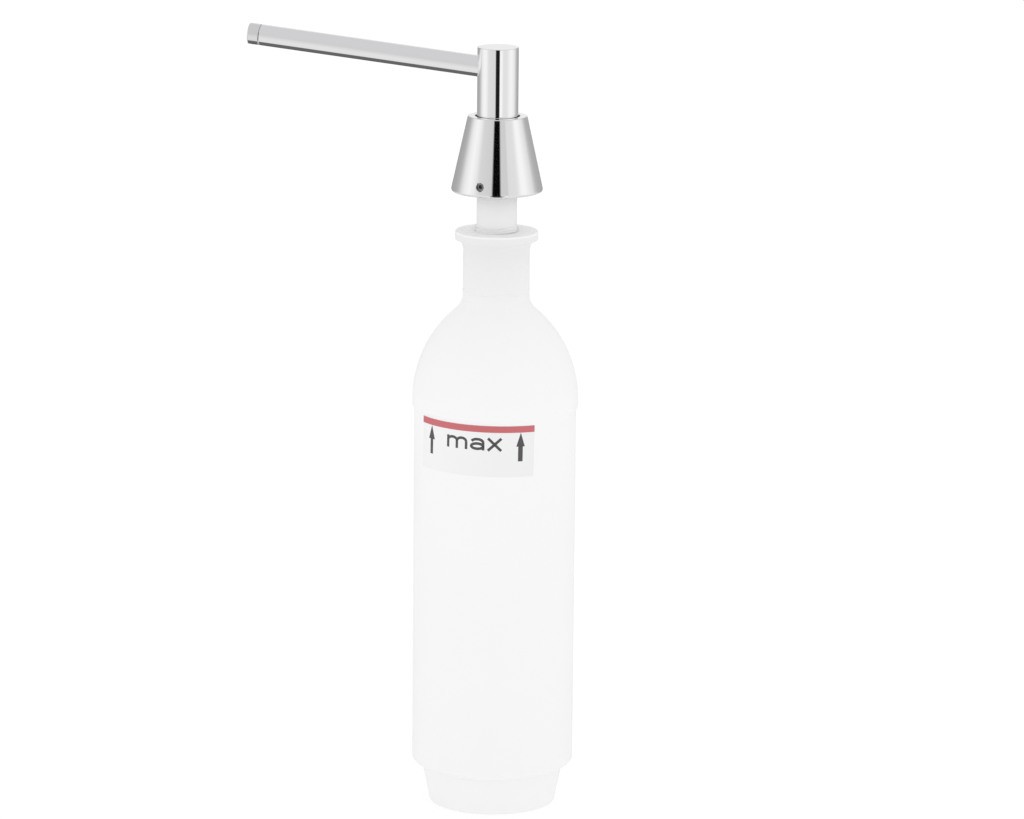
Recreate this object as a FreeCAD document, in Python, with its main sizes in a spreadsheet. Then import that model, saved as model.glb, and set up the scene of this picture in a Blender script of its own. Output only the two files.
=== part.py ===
# Deck-mounted soap pump dispenser. Lengths in millimetres, z up, z = 0 at the
# bottle's base, the pump's axis on z, the spout towards -x.
import FreeCAD, Part
import math, os
import Sketcher

V = FreeCAD.Vector
doc = FreeCAD.newDocument("soap_pump_dispenser")
sheet = doc.addObject("Spreadsheet::Sheet", "Sizes")
made = {}


class Size:
    """A length together with the sheet expression it comes from."""

    def __init__(self, value, text):
        self.value, self.text = value, text

    def _with(self, other, sign, result, swap=False):
        text = other.text if isinstance(other, Size) else repr(float(other))
        pair = (text, self.text) if swap else (self.text, text)
        return Size(result, "(%s %s %s)" % (pair[0], sign, pair[1]))

    def __add__(self, o): return self._with(o, "+", self.value + val(o))
    def __radd__(self, o): return self._with(o, "+", self.value + val(o), True)
    def __sub__(self, o): return self._with(o, "-", self.value - val(o))
    def __rsub__(self, o): return self._with(o, "-", val(o) - self.value, True)
    def __mul__(self, o): return self._with(o, "*", self.value * val(o))
    def __rmul__(self, o): return self._with(o, "*", self.value * val(o), True)
    def __truediv__(self, o): return self._with(o, "/", self.value / val(o))


def val(size):
    return float(size.value) if isinstance(size, Size) else float(size)


def size(name, value, note):
    """Puts one named size in the sheet and returns it."""
    row = size.row = getattr(size, "row", 0) + 1
    sheet.set("A%d" % row, name)
    sheet.set("B%d" % row, str(value))
    sheet.set("C%d" % row, note)
    sheet.setAlias("B%d" % row, name)
    return Size(value, "Sizes." + name)


def bind(obj, prop, amount):
    """Binds a property to its sheet expression, or sets it when it is a plain number."""
    if isinstance(amount, Size):
        obj.setExpression(prop, amount.text)
    else:
        setattr(obj, prop, amount)


# ---------------------------------------------------------------- sizes
bottle_radius = size("bottle_radius", 40.5, "straight wall of the bottle")
shoulder_lip = size("shoulder_lip", 1.0, "how far the shoulder stands out over the wall")
foot_base_radius = size("foot_base_radius", 31.5, "foot at the base")
foot_top_radius = size("foot_top_radius", 35.5, "foot under the wall's lower edge")
foot_height = size("foot_height", 22.2, "lower edge of the straight wall")
bottle_height = size("bottle_height", 292.4, "top of the flange")
neck_length = size("neck_length", 31.9, "mouth down to where the neck meets the shoulder")
shoulder_height = size("shoulder_height", 56.9, "neck down to the upper end of the straight wall")
neck_radius = size("neck_radius", 16.6, "outside of the neck")
neck_blend = size("neck_blend", 10.0, "hollow radius at the foot of the neck")
flange_radius = size("flange_radius", 20.75, "flange round the mouth")
flange_thickness = size("flange_thickness", 4.3, "flange round the mouth")
bottle_wall = size("bottle_wall", 1.5, "wall of the bottle")
push_up = size("push_up", 5.0, "hollow in the middle of the base")

worktop_gap = size("worktop_gap", 20.0, "worktop held between flange and shroud")
shank_radius = size("shank_radius", 10.0, "tube through the worktop")
thread_height = size("thread_height", 0.8, "thread stands out this far over the shank")
thread_above = size("thread_above", 3.2, "thread above the mouth of the bottle")
thread_gap = size("thread_gap", 0.07, "play between the thread and the adapter")
thread_chamfer = size("thread_chamfer", 0.6, "chamfer at the thread's lower end")
thread_runout = size("thread_runout", 0.9, "slope at the thread's upper end")
adapter_depth = size("adapter_depth", 18.0, "adapter below the mouth")
adapter_lead = size("adapter_lead", 1.5, "slope at the adapter's lower end")
adapter_step = size("adapter_step", 0.9, "adapter's rim beyond the neck's outside")
adapter_rim = size("adapter_rim", 2.0, "height of the adapter's rim")
shank_bore = size("shank_bore", 8.0, "bore of the shank")
shank_tail = size("shank_tail", 20.0, "shank below the mouth of the bottle")
shank_head_radius = size("shank_head_radius", 18.0, "flange hidden in the shroud")
shank_head_height = size("shank_head_height", 7.0, "flange hidden in the shroud")
washer_thickness = size("washer_thickness", 1.0, "rubber washer under the flange")
washer_play = size("washer_play", 1.5, "washer's hole round the shank")
washer_inset = size("washer_inset", 0.4, "washer's edge inside the flange's")
pocket_step = size("pocket_step", 3.0, "gland nut's pocket outside the shank's radius")
pocket_base = size("pocket_base", 2.0, "floor of that pocket")
seal_height = size("seal_height", 2.4, "lower side of the neck seal below the shank")
seal_inset = size("seal_inset", 0.2, "neck seal's edge inside the thread's")

shroud_low_radius = size("shroud_low_radius", 23.0, "cone at the worktop")
shroud_top_radius = size("shroud_top_radius", 14.7, "cone at its top")
shroud_height = size("shroud_height", 37.8, "cone")
shroud_gap = size("shroud_gap", 0.95, "space round the head in the shroud's opening")
screw_height = size("screw_height", 5.15, "set screw above the worktop")
screw_turn = size("screw_turn", -101.4, "set screw's direction about the axis, in degrees")
screw_radius = size("screw_radius", 2.0, "set screw")
groove_depth = size("groove_depth", 1.1, "groove for the set screw in the shank's flange")
screw_bite = size("screw_bite", 0.9, "set screw inside that groove")
screw_recess = size("screw_recess", 1.5, "set screw's end below the cone's surface")
screw_socket = size("screw_socket", 1.8, "depth of the set screw's hexagon")
bush_depth = size("bush_depth", 2.2, "guide bush below the shroud's top")
bush_length = size("bush_length", 7.0, "guide bush")
bush_wall = size("bush_wall", 3.0, "wall of the guide bush")
bush_step = size("bush_step", 0.8, "shroud's inner cone beyond the bush")
shroud_rounding = size("shroud_rounding", 1.4, "lower edge of the cone")

head_radius = size("head_radius", 10.2, "pump head")
head_above_shroud = size("head_above_shroud", 34.2, "pump head above the shroud")
head_inside = size("head_inside", 10.7, "pump head inside the shroud at rest")
head_room = size("head_room", 16.8, "hollow of the head round the spring, its height")
head_bore = size("head_bore", 7.2, "hollow of the head round the spring")
stroke = size("stroke", 14.0, "travel of the head")
running_gap = size("running_gap", 0.05, "radial play of moving fits")
safe_gap = size("safe_gap", 0.3, "space between pieces that pass each other")

spout_radius = size("spout_radius", 5.25, "outside of the spout")
spout_bore = size("spout_bore", 4.2, "bore of the spout")
spout_rise = size("spout_rise", 5.8, "slope of the spout, in degrees")
spout_reach = size("spout_reach", 127.1, "axis to the spout's end, along the spout")
spout_drop = size("spout_drop", 10.9, "spout's axis below the head's top")
tip_length = size("tip_length", 5.65, "end ring of the spout")
tip_groove = size("tip_groove", 0.35, "groove before the end ring")
tip_spigot = size("tip_spigot", 5.0, "end ring's sleeve inside the spout")
tip_wall = size("tip_wall", 1.2, "end wall of the end ring")

barrel_radius = size("barrel_radius", 7.6, "outside of the pump barrel")
barrel_bore = size("barrel_bore", 6.5, "bore of the pump barrel")
barrel_flange_radius = size("barrel_flange_radius", 12.5, "flange that hangs the barrel")
barrel_flange_thickness = size("barrel_flange_thickness", 1.5, "flange that hangs the barrel")
barrel_skirt = size("barrel_skirt", 8.0, "barrel below its floor")
barrel_end_gap = size("barrel_end_gap", 2.0, "space under the rod at full stroke")
gasket_thickness = size("gasket_thickness", 0.8, "gasket under the barrel's flange")
gland_neck = size("gland_neck", 4.1, "gland nut above the shank's flange")
valve_length = size("valve_length", 10.0, "foot valve below the barrel's floor")
valve_spigot = size("valve_spigot", 8.0, "foot valve inside the dip tube")
valve_socket = size("valve_socket", 4.5, "foot valve's neck in the barrel")
inlet_port = size("inlet_port", 1.5, "hole under the foot valve's ball")
outlet_port = size("outlet_port", 1.0, "hole under the ball in the rod")
piston_drop = size("piston_drop", 10.4, "piston below the worktop's top at rest")
piston_length = size("piston_length", 12.0, "piston")
seal_wire = size("seal_wire", 0.5, "section radius of the small rubber rings")
rod_radius = size("rod_radius", 3.0, "piston rod")
rod_bore = size("rod_bore", 1.5, "channel in the rod")
rod_step = size("rod_step", 0.95, "rod's larger end beyond the rod")
rod_in_head = size("rod_in_head", 11.2, "rod above the head's hollow")
rod_foot = size("rod_foot", 2.0, "rod below the piston")
collar_radius = size("collar_radius", 6.8, "collar the spring pushes on")
collar_thickness = size("collar_thickness", 1.5, "collar the spring pushes on")
clip_half = size("clip_half", 0.4, "half the thickness of the head's clip")
clip_seat = size("clip_seat", 0.3, "floor of the clip's groove outside the rod")
spring_radius = size("spring_radius", 5.5, "middle of the spring's wire")
wire_radius = size("wire_radius", 0.5, "spring wire")
spring_turns = size("spring_turns", 8.0, "turns of the spring")
inlet_ball_radius = size("inlet_ball_radius", 2.5, "ball of the foot valve")
outlet_ball_radius = size("outlet_ball_radius", 1.8, "ball in the rod")
tube_radius = size("tube_radius", 4.0, "outside of the dip tube")
tube_bore = size("tube_bore", 3.0, "bore of the dip tube")
tube_end = size("tube_end", 12.0, "lower end of the dip tube")

label_width = size("label_width", 57.2, "label film, straight across")
label_height = size("label_height", 26.0, "label film")
label_drop = size("label_drop", 1.6, "upper edge of the label film below the straight wall's end")
label_turn = size("label_turn", -94.1, "middle of the label about the axis, in degrees")
label_tilt = size("label_tilt", 0.95, "how far the label leans, in degrees")
label_film = size("label_film", 0.15, "thickness of the label film")
label_margin = size("label_margin", 17.0, "spare height of the ring that the label is cut from")

# levels that several pieces share
neck_start = bottle_height - neck_length
wall_top = neck_start - shoulder_height
label_top = wall_top - label_drop
shroud_opening = head_radius + shroud_gap
worktop_under = bottle_height
worktop_top = bottle_height + worktop_gap
head_flange_low = worktop_top + washer_thickness
head_flange_top = head_flange_low + shank_head_height
pocket_radius = shank_radius + pocket_step
pocket_floor = head_flange_low + pocket_base
barrel_flange_low = pocket_floor + gasket_thickness
barrel_flange_top = barrel_flange_low + barrel_flange_thickness
gland_top = head_flange_top + gland_neck
shroud_top = worktop_top + shroud_height
head_top = shroud_top + head_above_shroud
head_low = shroud_top - head_inside
head_ceiling = head_low + head_room
collar_top = head_ceiling - safe_gap
collar_low = collar_top - collar_thickness
rod_top = head_ceiling + rod_in_head
piston_top = worktop_top - piston_drop
piston_low = piston_top - piston_length
rod_low = piston_low - rod_foot
barrel_floor = rod_low - stroke - barrel_end_gap
barrel_low = barrel_floor - barrel_skirt
valve_low = barrel_floor - valve_length


# ---------------------------------------------------------------- ways of making a piece
def arc_side(a, b, radius):
    """Arc from a to b: turning left for a positive radius, right for a negative one."""
    dx, dy = b[0] - a[0], b[1] - a[1]
    half = math.hypot(dx, dy) / 2
    reach = math.sqrt(max(radius * radius - half * half, 0.0)) / (2 * half)
    side = 1 if radius > 0 else -1
    mid = V((a[0] + b[0]) / 2 - side * dy * reach, (a[1] + b[1]) / 2 + side * dx * reach, 0)
    first, last = (a, b) if radius > 0 else (b, a)
    angles = [math.atan2(p[1] - mid.y, p[0] - mid.x) for p in (first, last)]
    return Part.ArcOfCircle(Part.Circle(mid, V(0, 0, 1), abs(radius)), angles[0], angles[1])


def sketch_on(body, name, role="XZ_Plane"):
    """An empty sketch on one of the body's own origin planes."""
    plane = [f for f in body.Origin.OriginFeatures if f.Role == role][0]
    sketch = body.newObject("Sketcher::SketchObject", name)
    sketch.AttachmentSupport = [(plane, "")]
    sketch.MapMode = "FlatFace"
    return sketch


def turned(name, corners):
    """A body turned about z from (radius, height) corners; a third item in a corner
    makes the side that leaves it an arc of that radius."""
    body = doc.addObject("PartDesign::Body", name)
    sketch = sketch_on(body, name + "_outline")
    points = [(val(c[0]), val(c[1])) for c in corners]
    count = len(points)
    ends = []
    for i, corner in enumerate(corners):
        a, b = points[i], points[(i + 1) % count]
        if len(corner) == 3:
            radius = val(corner[2])
            sketch.addGeometry(arc_side(a, b, radius))
            ends.append((1, 2) if radius > 0 else (2, 1))
        else:
            sketch.addGeometry(Part.LineSegment(V(a[0], a[1], 0), V(b[0], b[1], 0)))
            ends.append((1, 2))
    rules, bound = [], []
    for i, corner in enumerate(corners):
        after = (i + 1) % count
        rules.append(Sketcher.Constraint("Coincident", i, ends[i][1], after, ends[after][0]))
        for kind, axis, amount in (("DistanceX", -2, corner[0]), ("DistanceY", -1, corner[1])):
            if val(amount) == 0:
                rules.append(Sketcher.Constraint("PointOnObject", i, ends[i][0], axis))
            else:
                bound.append((len(rules), "%s_%d" % ("across" if axis == -2 else "up", i), amount))
                rules.append(Sketcher.Constraint(kind, -1, 1, i, ends[i][0], val(amount)))
        if len(corner) == 3:
            amount = corner[2] if val(corner[2]) > 0 else 0 - corner[2]
            bound.append((len(rules), "bend_%d" % i, amount))
            rules.append(Sketcher.Constraint("Radius", i, val(amount)))
    sketch.addConstraint(rules)
    for index, label, amount in bound:
        sketch.renameConstraint(index, label)
        if isinstance(amount, Size):
            sketch.setExpression("Constraints." + label, amount.text)
    turn = body.newObject("PartDesign::Revolution", name + "_turn")
    turn.Profile = sketch
    turn.ReferenceAxis = (sketch, ["V_Axis"])
    turn.Angle = 360
    doc.recompute()
    return body


def softened(body, corners, radius):
    """Rounds the circular edges that run through the given (radius, height) corners."""
    base = body.Tip
    names = []
    for i, edge in enumerate(base.Shape.Edges):
        if isinstance(edge.Curve, Part.Circle):
            for r, z in corners:
                if abs(edge.Curve.Radius - val(r)) < 0.01 and abs(edge.Curve.Center.z - val(z)) < 0.01:
                    names.append("Edge%d" % (i + 1))
    fillet = body.newObject("PartDesign::Fillet", body.Name + "_rounding")
    fillet.Base = (base, names)
    bind(fillet, "Radius", radius)
    doc.recompute()
    return body


def ring(name, inner, outer, low, high):
    return turned(name, [(inner, low), (outer, low), (outer, high), (inner, high)])


def cylinder(name, radius, length, at, direction=V(0, 0, 1)):
    """A cylinder that starts at the given point and runs in the given direction."""
    obj = doc.addObject("Part::Cylinder", name)
    bind(obj, "Radius", radius)
    bind(obj, "Height", length)
    obj.Placement = FreeCAD.Placement(V(*[val(c) for c in at]), FreeCAD.Rotation(V(0, 0, 1), direction))
    for key, amount in zip("xyz", at):
        if isinstance(amount, Size):
            obj.setExpression("Placement.Base." + key, amount.text)
    return obj


def box(name, sizes, at, about_z=0.0):
    """A box centred across its x and y sizes, standing on the given point."""
    obj = doc.addObject("Part::Box", name)
    for prop, amount in zip(("Length", "Width", "Height"), sizes):
        bind(obj, prop, amount)
    turn = FreeCAD.Rotation(V(0, 0, 1), about_z)
    shift = turn.multVec(V(-val(sizes[0]) / 2, -val(sizes[1]) / 2, 0))
    obj.Placement = FreeCAD.Placement(V(*[val(c) for c in at]) + shift, turn)
    if isinstance(at[2], Size):
        obj.setExpression("Placement.Base.z", at[2].text)
    return obj


def joined(kind, name, base, tools):
    """Cuts, joins or keeps the common part of the base with each tool in turn."""
    for i, tool in enumerate(tools):
        obj = doc.addObject(kind, name if i == len(tools) - 1 else "%s_step_%d" % (name, i + 1))
        obj.Base, obj.Tool = base, tool
        base = obj
    doc.recompute()
    return base


def cut(name, base, *tools):
    return joined("Part::Cut", name, base, tools)


def node(name, obj):
    made[name] = obj


# ---------------------------------------------------------------- bottle
# The shoulder bulges out in one arc and runs into the neck in a hollow arc; the two
# touch where their directions agree, which fixes the large arc's radius.
shoulder_radius = bottle_radius + shoulder_lip
shoulder_low = wall_top + 3.4
drop = shoulder_radius - neck_radius
climb = neck_start - shoulder_low
both = (drop * drop + climb * climb) / (2 * drop)
bulge = both - neck_blend
meet_r = (shoulder_radius - bulge) + (both - drop) * bulge / both
meet_z = shoulder_low + climb * bulge / both
inner_meet_r = (shoulder_radius - bulge) + (both - drop) * (bulge - bottle_wall) / both
inner_meet_z = shoulder_low + climb * (bulge - bottle_wall) / both
flange_low = bottle_height - flange_thickness
flare = 2.4
flare_rise = 5.2
flare_radius = (flare * flare + flare_rise * flare_rise) / (2 * flare)
neck_bore = neck_radius - bottle_wall
mouth_step = bottle_height - adapter_rim
rim_radius = neck_radius + adapter_step
bead = neck_start + 1.4

bottle = turned("bottle", [
    (0, push_up),
    (foot_base_radius - 13.5, push_up),
    (foot_base_radius - 9.5, 0),
    (foot_base_radius - 2.0, 0, 2.0),
    (foot_base_radius, 2.0),
    (foot_top_radius, foot_height - 2.9),
    (bottle_radius - 1.2, foot_height - 1.5),
    (bottle_radius, foot_height),
    (bottle_radius, wall_top - 0.4),
    (shoulder_radius, wall_top + 0.3),
    (shoulder_radius, shoulder_low, bulge),
    (meet_r, meet_z, 0 - neck_blend),
    (neck_radius, neck_start),
    (neck_radius, bead),
    (neck_radius + 0.3, bead + 0.3),
    (neck_radius + 0.3, bead + 0.8),
    (neck_radius, bead + 1.1),
    (neck_radius, flange_low - flare_rise, -flare_radius),
    (neck_radius + flare, flange_low),
    (flange_radius, flange_low),
    (flange_radius, bottle_height),
    (rim_radius, bottle_height),
    (rim_radius, mouth_step),
    (neck_bore, mouth_step),
    (neck_bore, neck_start, neck_blend + bottle_wall),
    (inner_meet_r, inner_meet_z, 0 - (bulge - bottle_wall)),
    (shoulder_radius - bottle_wall, shoulder_low),
    (shoulder_radius - bottle_wall, wall_top + 0.9),
    (bottle_radius - bottle_wall, wall_top + 0.2),
    (bottle_radius - bottle_wall, foot_height + 0.5),
    (bottle_radius - 1.2 - bottle_wall, foot_height),
    (foot_top_radius - bottle_wall, foot_height - 1.5),
    (foot_base_radius - bottle_wall, 3.0),
    (foot_base_radius - 3.0, bottle_wall),
    (foot_base_radius - 9.0, bottle_wall),
    (foot_base_radius - 13.0, push_up + bottle_wall),
    (0, push_up + bottle_wall),
])
softened(bottle, [(flange_radius, flange_low), (flange_radius, bottle_height)], 0.5)
node("bottle", bottle)

# Adapter in the mouth: the shank's thread runs in its bore (thread left plain).
thread_radius = shank_radius + thread_height
plug_bore = thread_radius + thread_gap
adapter_low = bottle_height - adapter_depth
node("neck_plug", turned("neck_plug", [
    (plug_bore, adapter_low),
    (neck_bore - 0.8, adapter_low),
    (neck_bore, adapter_low + adapter_lead),
    (neck_bore, mouth_step),
    (rim_radius, mouth_step),
    (rim_radius, bottle_height),
    (plug_bore + 1.0, bottle_height),
    (plug_bore, bottle_height - 1.0),
]))

# Level label: clear film wrapped on the straight wall, leaning a little.
skin_length = label_height + label_margin * 2
skin_low = label_top - label_height - label_margin
skin = cut("label_skin",
           cylinder("label_skin_outside", bottle_radius + label_film, skin_length, (0, 0, skin_low)),
           cylinder("label_skin_inside", bottle_radius, skin_length, (0, 0, skin_low)))
sheet_block = doc.addObject("Part::Box", "label_block")
bind(sheet_block, "Length", bottle_radius + 5.0)
bind(sheet_block, "Width", label_width)
bind(sheet_block, "Height", label_height)
facing = FreeCAD.Rotation(V(0, 0, 1), val(label_turn))
lean = FreeCAD.Rotation(V(1, 0, 0), -val(label_tilt))
turn = facing.multiply(lean)
middle = V(0, 0, val(label_top) - val(label_height) / 2)
sheet_block.Placement = FreeCAD.Placement(
    middle + turn.multVec(V(0, -val(label_width) / 2, -val(label_height) / 2)), turn)
node("level_label", joined("Part::Common", "level_label", skin, [sheet_block]))

# ---------------------------------------------------------------- deck unit
tail_end = worktop_under - shank_tail
thread_top = worktop_under + thread_above
screw_level = worktop_top + screw_height
groove_half = screw_radius + running_gap
groove_floor = shank_head_radius - groove_depth
shank = turned("shank", [
    (shank_bore, tail_end),
    (thread_radius - thread_chamfer, tail_end),
    (thread_radius, tail_end + thread_chamfer),
    (thread_radius, thread_top - thread_runout),
    (shank_radius, thread_top),
    (shank_radius, head_flange_low),
    (shank_head_radius, head_flange_low),
    (shank_head_radius, screw_level - groove_half),
    (groove_floor, screw_level - groove_half),
    (groove_floor, screw_level + groove_half),
    (shank_head_radius, screw_level + groove_half),
    (shank_head_radius, head_flange_top),
    (pocket_radius, head_flange_top),
    (pocket_radius, pocket_floor),
    (shank_bore, pocket_floor),
])
node("shank", shank)

node("neck_seal", ring("neck_seal", barrel_radius + running_gap, thread_radius - seal_inset,
                       tail_end - seal_height, tail_end - safe_gap))
node("deck_washer", ring("deck_washer", shank_radius + washer_play, shank_head_radius - washer_inset,
                         worktop_top, head_flange_low))

# Shroud: plain cone; inside, a straight seat for the shank's flange, a relieved cone
# and the pocket of the guide bush.
seat_top = head_flange_top + 1.0
bush_top = shroud_top - bush_depth
bush_low = bush_top - bush_length
bush_radius = head_radius + bush_wall
shroud_body = softened(softened(turned("shroud_turned", [
    (shank_head_radius, worktop_top),
    (shroud_low_radius, worktop_top),
    (shroud_top_radius, shroud_top),
    (shroud_opening, shroud_top),
    (shroud_opening, bush_top),
    (bush_radius, bush_top),
    (bush_radius, bush_low),
    (bush_radius + bush_step, bush_low),
    (shank_head_radius, seat_top),
]), [(shroud_low_radius, worktop_top)], shroud_rounding), [(shroud_top_radius, shroud_top)], 0.5)
outward = V(math.cos(math.radians(val(screw_turn))), math.sin(math.radians(val(screw_turn))), 0)


def on_screw_line(distance):
    return (outward.x * distance, outward.y * distance, screw_level)


screw_inner = shank_head_radius - screw_bite
flank = (shroud_low_radius - shroud_top_radius) / shroud_height
screw_length = shroud_low_radius - screw_height * flank - screw_recess - screw_inner
node("shroud", cut("shroud", shroud_body,
                   cylinder("screw_hole", screw_radius, 20.0, on_screw_line(val(screw_inner)), outward)))

# Set screw: hexagon socket at its outer end.
screw_start, screw_run = val(screw_inner), val(screw_length)
socket = doc.addObject("Part::Prism", "screw_socket")
socket.Polygon = 6
bind(socket, "Circumradius", screw_radius * 0.58)
bind(socket, "Height", 3.0)
socket_at = V(*[val(c) for c in on_screw_line(screw_start + screw_run - val(screw_socket))])
socket.Placement = FreeCAD.Placement(socket_at, FreeCAD.Rotation(V(0, 0, 1), outward))
screw_body = cylinder("screw_shank", screw_radius, screw_length, on_screw_line(screw_start), outward)
node("shroud_screw", cut("shroud_screw", screw_body, socket))

node("guide_bush", ring("guide_bush", head_radius + running_gap, bush_radius, bush_low, bush_top))

# ---------------------------------------------------------------- pump barrel and foot valve
node("pump_barrel", turned("pump_barrel", [
    (valve_socket, barrel_low),
    (barrel_radius, barrel_low),
    (barrel_radius, barrel_flange_low),
    (barrel_flange_radius, barrel_flange_low),
    (barrel_flange_radius, barrel_flange_top),
    (barrel_bore, barrel_flange_top),
    (barrel_bore, barrel_floor),
    (valve_socket, barrel_floor),
]))
node("barrel_gasket", ring("barrel_gasket", barrel_radius + 0.6, barrel_flange_radius, pocket_floor, barrel_flange_low))

gland_body = turned("gland_turned", [
    (rod_radius + running_gap, piston_top + safe_gap),
    (barrel_bore, piston_top + safe_gap),
    (barrel_bore, barrel_flange_top),
    (pocket_radius, barrel_flange_top),
    (pocket_radius, head_flange_top),
    (shank_radius + 1.6, head_flange_top),
    (shank_radius + 1.6, gland_top),
    (rod_radius + running_gap, gland_top),
])
node("gland_nut", cut("gland_nut", gland_body,
                      box("gland_slot_a", (4.0, 2.4, 4.0), (10.0, 0, gland_top - 2.0)),
                      box("gland_slot_b", (4.0, 2.4, 4.0), (-10.0, 0, gland_top - 2.0)),
                      box("gland_slot_c", (2.4, 4.0, 4.0), (0, 10.0, gland_top - 2.0)),
                      box("gland_slot_d", (2.4, 4.0, 4.0), (0, -10.0, gland_top - 2.0))))

seat_level = barrel_floor - 7.0
valve_body = turned("valve_turned", [
    (inlet_port, valve_low - valve_spigot),
    (tube_bore - 0.4, valve_low - valve_spigot),
    (tube_bore, valve_low - valve_spigot + 0.6),
    (tube_bore, valve_low),
    (barrel_radius - 0.4, valve_low),
    (barrel_radius - 0.4, barrel_low),
    (valve_socket, barrel_low),
    (valve_socket, barrel_floor),
    (inlet_ball_radius - 0.3, barrel_floor),
    (inlet_ball_radius - 0.3, barrel_floor - 1.0),
    (inlet_ball_radius + 0.7, barrel_floor - 1.0),
    (inlet_ball_radius + 0.7, seat_level),
    (inlet_port, seat_level),
])
node("inlet_valve", cut("inlet_valve", valve_body,
                        box("valve_slot_a", (6.4, 1.4, 3.0), (0, 0, barrel_floor - 1.6)),
                        box("valve_slot_b", (1.4, 6.4, 3.0), (0, 0, barrel_floor - 1.6))))


def ball(name, radius, seat_edge, level):
    """A ball just clear of the edge of its seat."""
    obj = doc.addObject("Part::Sphere", name)
    bind(obj, "Radius", radius)
    height = val(level) + math.sqrt(val(radius) ** 2 - val(seat_edge) ** 2) + 0.03
    obj.Placement = FreeCAD.Placement(V(0, 0, height), FreeCAD.Rotation())
    doc.recompute()
    return obj


node("inlet_ball", ball("inlet_ball", inlet_ball_radius, inlet_port, seat_level))
node("dip_tube", ring("dip_tube", tube_bore, tube_radius, tube_end, valve_low))
strainer_body = turned("strainer_turned", [
    (0, tube_end - 2.0),
    (tube_radius + 0.6, tube_end - 2.0),
    (tube_radius + 1.2, tube_end - 1.4),
    (tube_radius + 1.2, tube_end + 9.0),
    (tube_radius, tube_end + 9.0),
    (tube_radius, tube_end),
    (tube_bore, tube_end),
    (tube_bore, tube_end - 1.0),
    (0, tube_end - 1.0),
])
node("strainer", cut("strainer", strainer_body,
                     box("strainer_slot_a", (5.0, 1.2, 3.0), (0, 0, tube_end - 2.4)),
                     box("strainer_slot_b", (1.2, 5.0, 3.0), (0, 0, tube_end - 2.4))))

# ---------------------------------------------------------------- plunger
# Hollow rod: ball cage at the lower end, larger end with two grooves in the head.
neck_of_rod = rod_radius + rod_step
clip_level = head_ceiling + 3.7
clip_low = clip_level - clip_half
clip_high = clip_level + clip_half
clip_floor = rod_radius + clip_seat
seal_level = head_ceiling + 8.2
cage_low = rod_low + 3.5
node("piston_rod", turned("piston_rod", [
    (outlet_ball_radius + 0.5, rod_low),
    (rod_radius, rod_low),
    (rod_radius, collar_top),
    (neck_of_rod, collar_top),
    (neck_of_rod, clip_low),
    (clip_floor, clip_low),
    (clip_floor, clip_high),
    (neck_of_rod, clip_high),
    (neck_of_rod, seal_level - seal_wire),
    (neck_of_rod - seal_wire * 2, seal_level - seal_wire),
    (neck_of_rod - seal_wire * 2, seal_level + seal_wire),
    (neck_of_rod, seal_level + seal_wire),
    (neck_of_rod, rod_top),
    (rod_bore, rod_top),
    (rod_bore, cage_low + 5.0),
    (outlet_ball_radius + 0.5, cage_low + 4.4),
]))
node("outlet_seat", ring("outlet_seat", outlet_port, outlet_ball_radius + 0.5, rod_low, cage_low))
node("outlet_ball", ball("outlet_ball", outlet_ball_radius, outlet_port, cage_low))

piston_ring_level = (piston_low + piston_top) / 2
node("piston", turned("piston", [
    (rod_radius, piston_low),
    (barrel_bore - 1.2, piston_low),
    (barrel_bore - running_gap, piston_low + 2.0),
    (barrel_bore - running_gap, piston_ring_level - seal_wire),
    (barrel_bore - running_gap - seal_wire * 2, piston_ring_level - seal_wire),
    (barrel_bore - running_gap - seal_wire * 2, piston_ring_level + seal_wire),
    (barrel_bore - running_gap, piston_ring_level + seal_wire),
    (barrel_bore - running_gap, piston_top - 2.0),
    (barrel_bore - 1.2, piston_top),
    (rod_radius, piston_top),
]))


def seal_ring(name, outer, level):
    """A round rubber ring; outer is its outside radius."""
    obj = doc.addObject("Part::Torus", name)
    bind(obj, "Radius1", outer - seal_wire)
    bind(obj, "Radius2", seal_wire)
    obj.Placement = FreeCAD.Placement(V(0, 0, val(level)), FreeCAD.Rotation())
    obj.setExpression("Placement.Base.z", level.text)
    doc.recompute()
    return obj


node("piston_ring", seal_ring("piston_ring", barrel_bore - running_gap, piston_ring_level))
node("swivel_seal", seal_ring("swivel_seal", neck_of_rod, seal_level))
node("rod_collar", ring("rod_collar", rod_radius, collar_radius, collar_low, collar_top))
node("head_clip", cut("head_clip",
                      ring("clip_turned", clip_floor, neck_of_rod + 0.75,
                           clip_low, clip_high),
                      box("clip_gap", (2.2, 3.0, 4.0), (5.0, 0, clip_level - 2.0))))

spring_body = doc.addObject("PartDesign::Body", "return_spring")
wire = sketch_on(spring_body, "spring_wire")
spring_low = gland_top + wire_radius
wire.addGeometry(Part.Circle(V(val(spring_radius), val(spring_low), 0), V(0, 0, 1), val(wire_radius)))
wire.addConstraint([
    Sketcher.Constraint("DistanceX", -1, 1, 0, 3, val(spring_radius)),
    Sketcher.Constraint("DistanceY", -1, 1, 0, 3, val(spring_low)),
    Sketcher.Constraint("Radius", 0, val(wire_radius)),
])
for index, label, amount in ((0, "across", spring_radius), (1, "up", spring_low), (2, "wire", wire_radius)):
    wire.renameConstraint(index, label)
    wire.setExpression("Constraints." + label, amount.text)
coil = spring_body.newObject("PartDesign::AdditiveHelix", "spring_coil")
coil.Profile = wire
coil.ReferenceAxis = (wire, ["V_Axis"])
coil.Mode = 0
coil.Angle = 0
rise = collar_low - gland_top - wire_radius * 2
bind(coil, "Height", rise)
bind(coil, "Pitch", rise / spring_turns)
doc.recompute()
node("return_spring", spring_body)

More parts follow.
